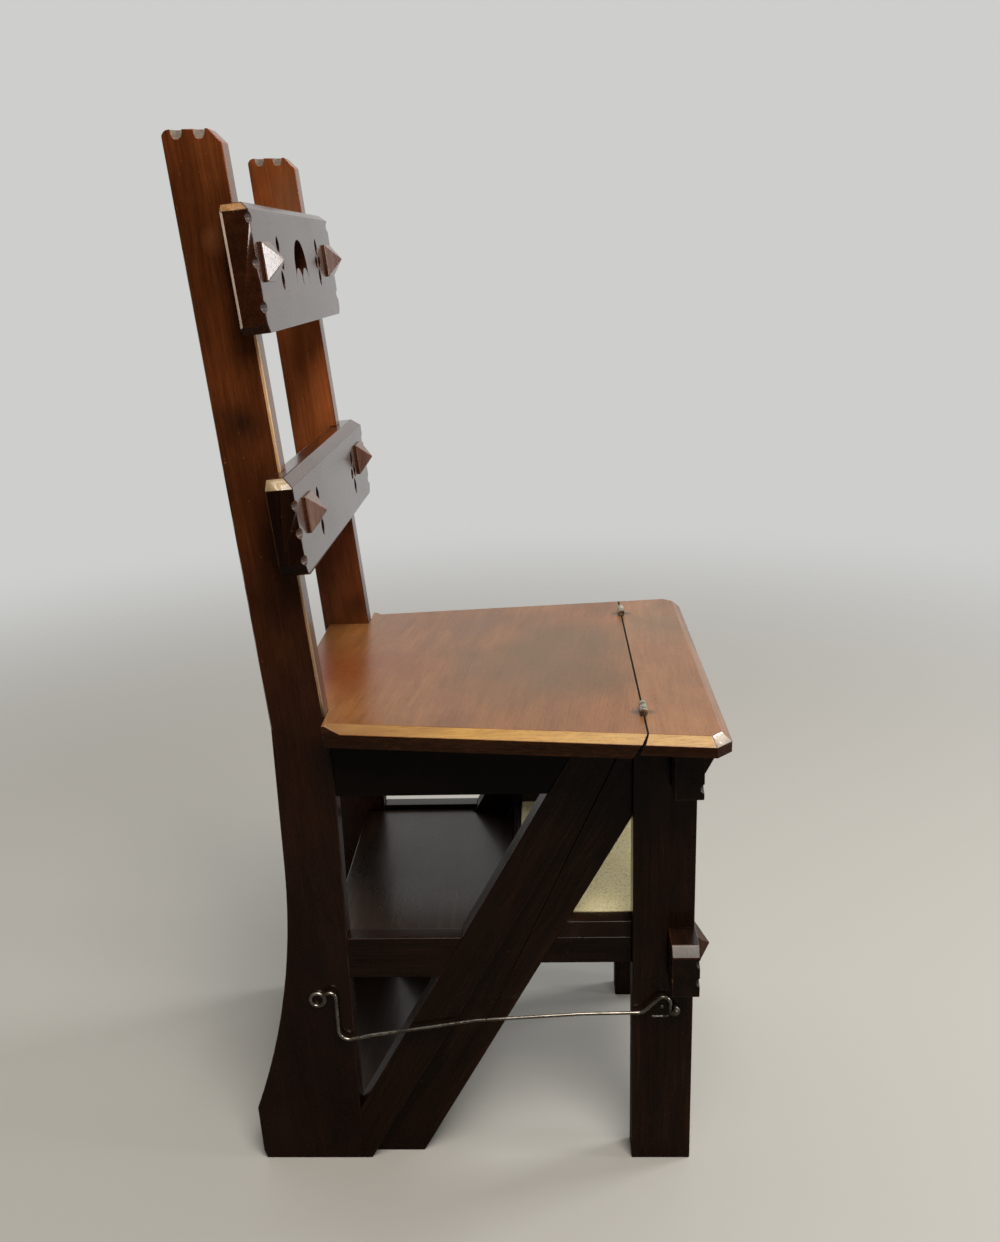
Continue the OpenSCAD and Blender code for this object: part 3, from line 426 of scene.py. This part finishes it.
# Painted highlight: the rear arrises painted pale over some rubbed wear, with painted shade below the seat.
chipped_arris = polished(
    "chipped_arris", stile_grain, ((96, 56, 34), (176, 140, 116), (236, 220, 206)), gloss=0.3, wear=0.5,
    streak=2.0, worn=(250, 240, 228), painted_height_shade=((0.42, 0.2), (0.50, 0.5), (0.60, 0.9)),
)
highlight_strip, scoop, lit_far_face, highlit_rear_strip = 2, 3, 4, 5
above_seat, long_edge, strip_width = 0.46, 0.05, 0.0021
scoops_from, scoop_facet, scoop_bend = 0.885, 6e-5, 0.03
for side, way in (("near", -1), ("far", 1)):
    stile = planed("rear_leg_" + side)
    fronts = [
        edge for edge in stile.edges
        if edge.is_manifold and edge.is_convex and edge.calc_length() > long_edge
        and sum(vert.co.z for vert in edge.verts) / 2 > above_seat
        and any(face.normal.y * way > 0.9 for face in edge.link_faces)
        and any(face.normal.x > 0.9 for face in edge.link_faces)
    ]
    # A wide strip along the front arrises above the seat, to carry the painted highlight.
    bevelled(stile, fronts, strip_width, highlight_strip)
    eased(stile, arris=0.0011)
    for face in stile.faces:
        out, height, finish = face.normal.y * way, face.calc_center_median().z, face.material_index
        hollow = any(
            edge.is_manifold and not edge.is_convex and edge.calc_face_angle(0) > scoop_bend
            for edge in face.edges
        )
        # The rear arrises take the painted highlight over wear.
        if finish == strip and abs(out) > 0.3 and face.normal.x < -0.3:
            face.material_index = highlit_rear_strip
        elif finish == broad and hollow and height > scoops_from and face.calc_area() < scoop_facet:
            face.material_index = scoop
        # The far stile's inner face takes the painted lit finish.
        elif finish == broad and side == "far" and out < -0.5:
            face.material_index = lit_far_face
    stile = made(stile, "stile_" + side, [
        stile_wood, stile_arris, rubbed_arris, scooped_wood, warm_inner_wood, chipped_arris,
    ])
    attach(stile, "back_half")
    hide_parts("rear_leg_" + side)

# Strings of the back half: two slanting dark boards that meet the front strings along the cut. Each
# runs from the foot of a rear leg up to the seat, and its arrises are a little rubbed.
for side in ("near", "far"):
    string = eased(planed("back_string_" + side), arris=0.0012)
    string = made(string, "slant_string_back_" + side, [string_wood, leg_arris])
    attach(string, "back_half")
    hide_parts("back_string_" + side)

# Side rails of the back half: dark hardwood bars, one under each side of the seat and one halfway
# down, let in between the rear leg and the string. The upper ones are painted nearly black as
# painted shade under the seat.
# Painted shade: the seat rails' colour, nearly black for the shade under the seat.
shaded_wood = polished(
    "shaded_wood", lengthwise, ((8, 3, 1), (16, 6, 2), (28, 13, 5)), coat=0.0, gloss=0.34,
    worn=(60, 34, 18),
)
for node in ("seat_rail_near", "seat_rail_far", "mid_rail_near", "mid_rail_far"):
    finishes = [shaded_wood, shaded_wood] if "seat" in node else [level_wood, leg_arris]
    rail = made(eased(planed(node), arris=0.001), node + "_bar", finishes)
    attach(rail, "back_half")
    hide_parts(node)

# Treads of the back half: two plain hardwood boards between the rear legs, notched round the
# strings. They lie upside down in the chair and are trodden on in the steps.
plain_tread_wood = polished(
    "plain_tread_wood", crosswise, ((26, 15, 8), (44, 29, 18), (64, 46, 31)), gloss=0.28, coat=0.15,
    mottle=0.26,
)
for node in ("mid_tread", "bottom_tread"):
    board = eased(planed(node), arris=0.0012)
    board = made(board, node + "_board", [plain_tread_wood, leg_arris])
    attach(board, "back_half")
    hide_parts(node)

# Back rails: two polished hardwood boards let into the fronts of the stiles and running past them,
# chamfered along the top, clipped and gouged at the ends, and pierced with crosses and, in the upper
# one, an arch. The clips and the rear arrises of the ends are rubbed pale.
back_rail_wood = polished(
    "back_rail_wood", crosswise, ((34, 15, 7), (58, 28, 14), (84, 45, 24)), gloss=0.2, waves=0.05,
    mottle=0.15, worn=(160, 112, 76), coat=0.45, streak=0.8,
)
golden_clip_wood = polished(
    "golden_clip_wood", crosswise, ((120, 80, 42), (164, 118, 68), (190, 146, 94)), gloss=0.24,
    worn=(206, 164, 112),
)
bare_arris = polished(
    "bare_arris", upright, ((178, 146, 126), (220, 194, 176), (240, 222, 208)), gloss=0.36, coat=0.1,
    wear=0.5, worn=(250, 238, 228),
)
dim_arris = polished(
    "dim_arris", upright, ((60, 34, 20), (92, 58, 38), (128, 88, 62)), gloss=0.36, wear=0.4,
    worn=(150, 112, 84),
)
rail_end_wood = polished(
    "rail_end_wood", upright, ((18, 7, 2), (32, 13, 5), (52, 25, 11)), gloss=0.26, coat=0.1,
    worn=(110, 70, 40),
)
beige_clip_wood = polished(
    "beige_clip_wood", crosswise, ((142, 118, 86), (178, 152, 114), (200, 176, 140)), gloss=0.28,
    coat=0.1, worn=(222, 200, 166),
)
rear_strip, rail_end = 3, 4
past_stile, end_edge = 0.14, 0.01
for node, end_wood, clip_wood, rear_arris, strip_width in (
    ("upper_back_rail", back_rail_wood, golden_clip_wood, bare_arris, 0.0024),
    ("lower_back_rail", rail_end_wood, beige_clip_wood, dim_arris, 0.0007),
):
    rail = planed(node)
    ends = [
        edge for edge in rail.edges
        if edge.is_manifold and edge.is_convex and edge.calc_length() > end_edge
        and any(
            abs(face.normal.y) > 0.9 and abs(face.calc_center_median().y) > past_stile
            for face in edge.link_faces
        )
        and any(face.normal.x < -0.9 for face in edge.link_faces)
    ]
    bevelled(rail, ends, strip_width, rear_strip)
    eased(rail, arris=0.0009, rim=0.0004)
    for face in rail.faces:
        out, at_end = abs(face.normal.y), abs(face.calc_center_median().y) > past_stile
        if face.material_index == broad and at_end and out > 0.5:
            face.material_index = clip if face.normal.z > 0.5 else rail_end
        elif face.material_index == strip and face.normal.x > 0.5 and out < 0.1:
            face.material_index = broad
    rail = made(rail, node + "_board", [back_rail_wood, cross_arris, clip_wood, rear_arris, end_wood])
    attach(rail, "back_half")
    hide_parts(node)

# Bosses on the back rails: four pyramids like those below, glued on in front of the stiles, the sides
# of their blocks painted dark as painted shade. Their polish is redder, and the near one of the lower
# rail is painted grey as a painted sheen.
planted_boss_wood = polished(
    "planted_boss_wood", upright, ((60, 34, 26), (92, 57, 45), (124, 84, 68)), gloss=0.2,
    worn=(170, 130, 108),
)
# Painted sheen: the near boss of the lower rail painted grey for its highlights.
rubbed_boss_wood = polished(
    "rubbed_boss_wood", upright, ((84, 62, 54), (116, 90, 80), (146, 118, 106)), gloss=0.24,
    worn=(180, 150, 132),
)
boss_arris = polished(
    "boss_arris", upright, ((88, 56, 42), (122, 84, 64), (156, 116, 92)), gloss=0.26, wear=0.35,
    worn=(180, 140, 114),
)
for node in ("upper_boss_near", "upper_boss_far", "lower_boss_near", "lower_boss_far"):
    face_wood = rubbed_boss_wood if node == "lower_boss_near" else planted_boss_wood
    boss = boss_of(node, face_wood, boss_arris)
    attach(boss, "back_half")
    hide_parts(node)

# Seat: two hardwood boards with a chamfer round the edge, parted at the hinge line. The polish is
# worn thin and pale where people have sat. The side chamfers are painted golden as a painted
# highlight, darker towards the back, and the front corner clips carry a painted near-white glint.
seat_top, hinge_x, hinge_y = 0.45, 0.146, 0.139
knuckle_stains = [
    ((hinge_x + ahead, side * hinge_y, seat_top), 0.0075, (66, 58, 40), 0.8)
    for side in (-1, 1) for ahead in (-0.005, 0.005)
]
seat_wood = polished(
    "seat_wood", (0.12, 1, 0), ((114, 70, 34), (140, 90, 47), (160, 107, 61)), gloss=0.28, mottle=0.2,
    worn=(176, 128, 84), coat=0.12, streak=0.75,
    stains=[
        ((0.075, 0.04, seat_top), 0.11, (102, 82, 46), 0.6),
        ((0.06, -0.05, seat_top), 0.09, (104, 82, 48), 0.5),
        ((-0.13, -0.03, seat_top), 0.09, (122, 58, 22), 0.75),
        ((0.0, 0.12, seat_top), 0.05, (104, 70, 44), 0.4),
        *knuckle_stains,
    ],
)
front_board_wood = polished(
    "front_board_wood", (0.02, 1, 0), ((122, 78, 42), (148, 99, 58), (168, 117, 74)), gloss=0.28,
    mottle=0.22, worn=(196, 146, 102), coat=0.12, streak=0.75,
    stains=[
        ((0.185, 0.10, seat_top), 0.07, (112, 88, 56), 0.55),
        ((0.19, 0.0, seat_top), 0.03, (140, 92, 60), 0.5),
        *knuckle_stains,
    ],
)
# Painted highlight: the side chamfers' bright golden colour, with a darker patch painted towards the back.
chamfer_wood = polished(
    "chamfer_wood", lengthwise, ((178, 128, 60), (212, 162, 82), (228, 184, 108)), gloss=0.34, coat=0.0,
    worn=(236, 194, 124), mottle=0.15, stains=[((-0.12, -0.18, 0.447), 0.11, (150, 106, 68), 0.9)],
)
front_chamfer_wood = polished(
    "front_chamfer_wood", crosswise, ((116, 80, 50), (142, 100, 64), (164, 122, 84)), gloss=0.3, coat=0.0,
    worn=(190, 150, 114),
)
# Painted glint: the near-white colour of the seat's front corner clips.
corner_wood = polished(
    "corner_wood", crosswise, ((188, 168, 150), (216, 200, 184), (234, 222, 208)), gloss=0.16,
    worn=(240, 230, 220),
)
seat_edge_wood = polished(
    "seat_edge_wood", lengthwise, ((30, 14, 5), (52, 27, 10), (80, 45, 19)), coat=0.1, worn=(130, 84, 46)
)
seat_arris = polished(
    "seat_arris", (0.1, 1, 0), ((120, 76, 42), (148, 96, 56), (172, 118, 74)), gloss=0.3, wear=0.25,
    worn=(206, 158, 108),
)
joint_wood = polished("joint_wood", crosswise, ((8, 4, 2), (16, 9, 5), (26, 16, 9)), gloss=0.9, coat=0.0)
side_chamfer, front_chamfer, joint, corner, board_edge = 2, 3, 4, 5, 6
joint_back, joint_front, joint_play = 0.13, 0.148, 0.0012
for node, top_wood, body in (
    ("main_seat_board", seat_wood, "back_half"), ("front_seat_board", front_board_wood, "front_half"),
):
    board = eased(planed(node), arris=0.0006)
    for face in board.faces:
        way, middle = face.normal, face.calc_center_median()
        undercut = abs(way.x) > 0.5 and joint_back < middle.x < joint_front
        if undercut or abs(middle.x - hinge_x) < joint_play:
            face.material_index = joint
        elif face.material_index == strip:
            if way.z < 0.6 and abs(way.y) > 0.3:
                face.material_index = board_edge
        elif 0.25 < way.z < 0.93:
            # The front corner clips take the painted glint.
            if way.x > 0.3 and abs(way.y) > 0.3:
                face.material_index = corner
            else:
                face.material_index = front_chamfer if way.x > 0.4 else side_chamfer
        elif way.z < 0.25:
            face.material_index = board_edge
    board = made(board, node + "_top", [
        top_wood, seat_arris, chamfer_wood, front_chamfer_wood, joint_wood, corner_wood, seat_edge_wood,
    ])
    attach(board, body)
    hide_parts(node)

# Hinges: two butt hinges of dull aged brass let into the edges of the seat boards, each with two
# knuckles on the fixed leaf, one on the moving leaf, and a pin through them. Two slotted screws with
# sunk heads hold each leaf.
def metal(name, dark, plain, bright, rough, grain_size):
    """Aged metal, darker in patches, with fine scratches."""
    finish, tree = blank(name)
    place = put(tree, "TexCoord").outputs["Object"]
    patch = put(tree, "TexNoise", {"Vector": place, "Scale": 1 / grain_size, "Detail": 4.0}).outputs["Fac"]
    rub = put(tree, "TexNoise", {"Vector": place, "Scale": 6 / grain_size, "Detail": 3.0}).outputs["Fac"]
    colour = ramped(tree, patch, ((0.36, tone(*dark)), (0.5, tone(*plain)), (0.66, tone(*bright))))
    relief = put(tree, "Bump", {"Height": rub, "Strength": 0.2, "Distance": 0.0001})
    shader = put(tree, "BsdfPrincipled", {
        "Base Color": colour, "Metallic": 0.95, "Normal": relief.outputs["Normal"],
        "Roughness": between(tree, rub, 0.3, 0.7, rough - 0.08, rough + 0.14),
    })
    put(tree, "OutputMaterial", {"Surface": shader.outputs["BSDF"]})
    return finish


aged_brass = metal("aged_brass", (116, 108, 92), (176, 168, 150), (216, 210, 196), 0.38, 0.006)
screw_r, screw_apart, slot_share, head_steps = 0.0019, 0.011, 0.12, 12
head_sunk, head_proud = 0.0003, 0.00012


def slotted_screws(leaf):
    """The heads of a leaf's two screws, each of two half rounds with the slot between them."""
    heads = bmesh.new()
    facing, middle = leaf.normal.copy(), leaf.calc_center_median()
    level = Vector((0, 1, 0))
    down = level.cross(facing)
    slot_turn = math.asin(slot_share)
    rim = [slot_turn + (math.pi - 2 * slot_turn) * k / head_steps for k in range(head_steps + 1)]
    for offset in (-screw_apart / 2, screw_apart / 2):
        for half in (-1, 1):
            cap = [
                middle + level * (offset + screw_r * math.cos(turn)) + down * half * screw_r * math.sin(turn)
                for turn in rim
            ]
            under = [heads.verts.new(spot - facing * head_sunk) for spot in cap]
            over = [heads.verts.new(spot + facing * head_proud) for spot in cap]
            heads.faces.new(over)
            heads.faces.new(under)
            for k, after in enumerate([*range(1, head_steps + 1), 0]):
                heads.faces.new((under[k], under[after], over[after], over[k]))
    bmesh.ops.recalc_face_normals(heads, faces=heads.faces)
    return heads


pin_share = 0.94
for side, pin_y in (("near", -hinge_y), ("far", hinge_y)):
    for node, body in (
        ("hinge_fixed_leaf_" + side, "front_half"), ("hinge_pin_" + side, "front_half"),
        ("hinge_moving_leaf_" + side, "back_half"),
    ):
        metalwork = planed(node)
        heads = None
        if "leaf" in node:
            toward = -1 if "fixed" in node else 1
            faces = [face for face in metalwork.faces if face.normal.x * toward > 0.5]
            heads = slotted_screws(max(faces, key=lambda face: face.calc_area()))
        else:
            bmesh.ops.scale(
                metalwork, vec=(1, pin_share, 1), verts=metalwork.verts,
                space=Matrix.Translation((0, -pin_y, 0)),
            )
        part = made(eased(metalwork, arris=0.00025, rim=0.0002), "brass_" + node, [aged_brass, aged_brass])
        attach(part, body)
        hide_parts(node)
        if heads:
            heads = made(heads, "slotted_screws_" + node, [aged_brass])
            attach(heads, body)

# Wire hook: one length of drawn wire with a ring at the front, a hump, a long sag and a crook at
# the back that drops over the eye, turning on a round-headed screw in the near front leg.
drawn_wire = metal("drawn_wire", (150, 143, 130), (180, 173, 160), (206, 200, 189), 0.3, 0.02)
wire_r, ring_r = 0.0015, 0.0036
pivot_x, pivot_z = 0.175, 0.1646
first_heading, bend_step, run_steps = 365, 7.5, 4
heading = math.radians(first_heading)
outward = math.radians(first_heading + 90)
spot = Vector((ring_r * math.cos(outward), ring_r * math.sin(outward)))
path = [spot.copy()]
# A bend is a straight run of wire, then a turn of so many degrees round a radius.
bends = (
    (0, -275, ring_r), (0.0084, 135, 0.0062), (0.016, -44, 0.010), (0.050, 11, 1.0),
    (0.0195, -102, 0.0095), (0.034, 120, 0.0055), (0.0045, 0, 0.0055),
)
for run, turn, radius in bends:
    if run:
        for step in range(1, run_steps + 1):
            path.append(spot + Vector((math.cos(heading), math.sin(heading))) * run * step / run_steps)
        spot = path[-1].copy()
    steps = max(1, math.ceil(abs(turn) / bend_step))
    bend = math.copysign(radius, turn)
    start = spot.copy()
    for step in range(1, steps + 1) if turn else ():
        facing = heading + math.radians(turn) * step / steps
        path.append(start + Vector((
            bend * (math.sin(facing) - math.sin(heading)), -bend * (math.cos(facing) - math.cos(heading))
        )))
    spot = path[-1].copy()
    heading += math.radians(turn)
low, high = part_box("wire_hook")
plane_y = (low.y + high.y) / 2


def wire_line(name, spots, thick, body):
    """A round wire bent along a line of spots, as a mesh that rides one body."""
    curve = bpy.data.curves.new(name + "_line", "CURVE")
    curve.dimensions = "3D"
    curve.bevel_depth = thick
    curve.bevel_resolution = 5
    curve.use_fill_caps = True
    line = curve.splines.new("POLY")
    line.points.add(len(spots) - 1)
    for point, spot in zip(line.points, spots):
        point.co = (*spot, 1)
    curve.materials.append(drawn_wire)
    drawn = bpy.data.objects.new(name + "_line", curve)
    bpy.context.scene.collection.objects.link(drawn)
    bpy.context.view_layer.update()
    mesh = bpy.data.meshes.new_from_object(drawn.evaluated_get(bpy.context.evaluated_depsgraph_get()))
    bpy.data.objects.remove(drawn)
    wire = bpy.data.objects.new(name, mesh)
    bpy.context.scene.collection.objects.link(wire)
    for face in mesh.polygons:
        face.use_smooth = True
    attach(wire, body)
    return wire


route = [(pivot_x + x, plane_y, pivot_z + z) for x, z in path]
hook = wire_line("drawn_wire_hook", route, wire_r, "hook")
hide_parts("wire_hook")

# Pivot screw and eye of the hook: a round-headed screw with a collar, driven into the near front
# leg, and a wire ring screwed into the near rear leg.
for node, body in (("hook_pivot", "front_half"), ("rear_eye", "back_half")):
    part = eased(planed(node), arris=0.0002, rim=0.0002)
    part = made(part, "wire_" + node, [drawn_wire, drawn_wire])
    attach(part, body)
    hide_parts(node)

# Staple and nail beside the hook's ring: an old wire staple driven flat into the near front leg, and
# a round nail head above it.
leg_face = -0.14
staple_back, staple_front, staple_z, staple_r, staple_bend = 0.1556, 0.1696, 0.1562, 0.0008, 0.0005
driven, shoulder, crown = leg_face + 0.002, leg_face - 0.0003, leg_face - 0.0007
wire_line("flat_staple", [
    (staple_back, driven, staple_z), (staple_back, shoulder, staple_z),
    (staple_back + staple_bend, crown, staple_z), (staple_front - staple_bend, crown, staple_z),
    (staple_front, shoulder, staple_z), (staple_front, driven, staple_z),
], staple_r, "front_half")
nail_x, nail_z, sides = 0.1644, 0.1657, 16
turns = [2 * math.pi * k / sides for k in range(sides)]
nail = bmesh.new()
rings = [
    [
        nail.verts.new((nail_x + radius * math.cos(turn), leg_face - proud, nail_z + radius * math.sin(turn)))
        for turn in turns
    ]
    for radius, proud in ((0.0016, -0.0004), (0.0016, 0.0002), (0.0013, 0.0005), (0.0007, 0.0007))
]
for inner, outer in zip(rings[1:], rings):
    for k in range(sides):
        after = (k + 1) % sides
        nail.faces.new((outer[k], outer[after], inner[after], inner[k]))
nail.faces.new(rings[-1])
nail.faces.new(rings[0][::-1])
bmesh.ops.recalc_face_normals(nail, faces=nail.faces)
for face in nail.faces:
    face.smooth = True
nail = made(nail, "round_nail", [drawn_wire])
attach(nail, "front_half")

# Studio: a plain pale floor that fades into the backdrop. Two soft lamps stand in front of the chair
# and a broad one hangs over the near side. The surroundings are dim on the near side and pale on the
# far side, and the floor is darker in reflections.
floor_paint, tree = blank("floor_paint")
place = put(tree, "TexCoord").outputs["Object"]
reach = put(tree, "VectorMath", {0: place}, operation="LENGTH").outputs["Value"]
fade = put(
    tree, "MapRange", {"Value": reach, "From Min": 0.9, "From Max": 2.6}, interpolation_type="SMOOTHSTEP"
)
tooth = put(tree, "TexNoise", {"Vector": place, "Scale": 60.0, "Detail": 5.0}).outputs["Fac"]
rays = put(tree, "LightPath")
paint = tint(tree, "MIX", rays.outputs["Is Glossy Ray"], tone(196, 194, 188), tone(60, 56, 48))
rough = between(tree, tooth, 0.3, 0.7, 0.75, 0.9)
painted = put(tree, "BsdfPrincipled", {"Base Color": paint, "Roughness": rough}).outputs["BSDF"]
clear = put(tree, "BsdfTransparent").outputs["BSDF"]
mixed = put(tree, "MixShader", {0: fade.outputs["Result"], 1: painted, 2: clear})
put(tree, "OutputMaterial", {"Surface": mixed.outputs["Shader"]})
floor_r, floor_drop = 3.0, 0.0002
slab = bmesh.new()
bmesh.ops.create_circle(slab, cap_ends=True, segments=96, radius=floor_r)
mesh = bpy.data.meshes.new("studio_floor")
slab.to_mesh(mesh)
slab.free()
mesh.materials.append(floor_paint)
floor = bpy.data.objects.new("studio_floor", mesh)
floor.location.z = -floor_drop
bpy.context.scene.collection.objects.link(floor)

world = bpy.data.worlds.new("studio")
bpy.context.scene.world = world
world.use_nodes = True
tree = world.node_tree
tree.nodes.clear()
way = put(tree, "TexCoord").outputs["Generated"]
across = put(tree, "SeparateXYZ", {"Vector": way}).outputs["Y"]
far_share = between(tree, across, -0.1, 0.35, 0.0, 1.0)
dim, pale = tone(28, 24, 19), tone(206, 206, 204)
room = tint(tree, "MIX", far_share, dim, pale)
rays = put(tree, "LightPath")
seen = tint(tree, "MIX", rays.outputs["Is Camera Ray"], room, pale)
sky = put(tree, "Background", {"Color": seen, "Strength": 1.0})
put(tree, "OutputWorld", {"Surface": sky.outputs["Background"]})

for name, spot, aim, width, height, watts, glow in (
    ("window", (2.6, -0.37, 1.12), (-0.13, -0.13, 0.81), 0.3, 0.45, 11, (1, 0.98, 0.96)),
    ("skylight", (2.45, 0.73, 2.2), (0.2, -0.19, 0.45), 0.7, 0.7, 26, (1, 1, 1)),
    ("overhead", (0.55, -1.3, 2.9), (0.05, -0.1, 0.45), 1.2, 1.6, 66, (1, 0.94, 0.86)),
):
    lamp = bpy.data.lights.new(name, "AREA")
    lamp.shape = "RECTANGLE"
    lamp.size, lamp.size_y, lamp.energy, lamp.color = width, height, watts, glow
    holder = bpy.data.objects.new(name, lamp)
    holder.location = spot
    holder.rotation_euler = (Vector(aim) - Vector(spot)).to_track_quat("-Z", "Y").to_euler()
    bpy.context.scene.collection.objects.link(holder)

# Camera: beside the chair at the height of the upper back rail, a little in front of its middle,
# tilted down to the seat.
camera_x, camera_y, camera_z = 0.0680, -1.0356, 0.8114
yaw, pitch, roll = 0.0424535, 0.3027427, -0.0316085
forward = Vector((-math.sin(yaw) * math.cos(pitch), math.cos(yaw) * math.cos(pitch), -math.sin(pitch)))
level = Vector((math.cos(yaw), math.sin(yaw), 0))
upward = level.cross(forward)
right = level * math.cos(roll) + upward * math.sin(roll)
top = upward * math.cos(roll) - level * math.sin(roll)
lens = bpy.data.cameras.new("camera")
lens.lens, lens.sensor_width = 33.66, 36
camera = bpy.data.objects.new("camera", lens)
camera.matrix_world = Matrix((
    (right.x, top.x, -forward.x, camera_x),
    (right.y, top.y, -forward.y, camera_y),
    (right.z, top.z, -forward.z, camera_z),
    (0, 0, 0, 1),
))
bpy.context.scene.collection.objects.link(camera)
bpy.context.scene.camera = camera
bpy.context.scene.view_settings.view_transform = "Standard"
